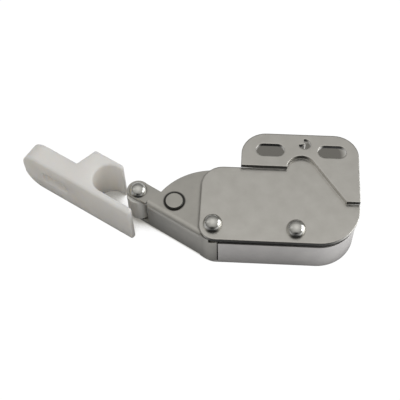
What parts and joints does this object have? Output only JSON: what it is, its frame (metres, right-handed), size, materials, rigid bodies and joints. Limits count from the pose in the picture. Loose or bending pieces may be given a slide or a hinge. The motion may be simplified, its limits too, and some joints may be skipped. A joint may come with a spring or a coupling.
{
  "type": "push-to-open touch latch",
  "caption": "Flat riveted touch latch with a slotted mounting flange, a sprung swinging arm that carries a roller, and the plastic hook strike that goes on the door.",
  "frame": {"origin": "midway between the two screw slots, on the back face of the mounting flange", "axes": "+X along the slot row away from the arm, +Y from the case to the flange's free edge, +Z out of the front; the latch lies on the back of its case, as pictured"},
  "size_m": [0.094, 0.0336, 0.0164],
  "materials": {
    "plate": "satin nickel plate",
    "case": "satin nickel plate",
    "arm": "satin nickel plate",
    "roller": "ground",
    "rivet": "polished",
    "bush": "turned",
    "pin": "turned",
    "cam": "moulded",
    "spring": "drawn wire",
    "strike": "moulded, slightly translucent"
  },
  "bodies": {
    "case": {"cover_plate": "plate", "rear_case": "case", "pivot_rivet": "rivet", "pivot_bush": "bush", "pawl_rivet": "rivet", "pawl_bush": "bush", "arm_spring": "spring", "pawl_spring": "spring"},
    "arm": {"swing_arm": "arm", "stop_pin": "pin", "heart_cam": "cam", "roller_axle": "rivet"},
    "roller": {"tip_roller": "roller"},
    "lever": {"pawl": "arm", "follower_pin": "pin"},
    "strike": {"strike": "strike"}
  },
  "joints": [
    {"name": "arm_swing", "type": "hinge", "parent": "case", "child": "arm", "pos_m": [-0.02329, -0.02363, -0.007], "axis": [0, 0, -1], "range_deg": [0, 27], "stiffness_Nm_per_rad": 0.05, "springref_deg": -22.92, "deforming": ["arm_spring"]},
    {"name": "roller_spin", "type": "hinge", "parent": "arm", "child": "roller", "pos_m": [-0.0442, -0.01322, -0.007], "axis": [0, 0, 1], "continuous": true},
    {"name": "lever_swing", "type": "hinge", "parent": "case", "child": "lever", "pos_m": [-0.00123, -0.02425, -0.007], "axis": [0, 0, 1], "range_deg": [0, 10], "stiffness_Nm_per_rad": 0.004, "springref_deg": -17.19, "deforming": ["pawl_spring"]},
    {"name": "strike_slide", "type": "slide", "parent": "case", "child": "strike", "axis": [-1, 0, 0], "range_m": [0, 0.03]}
  ]
}
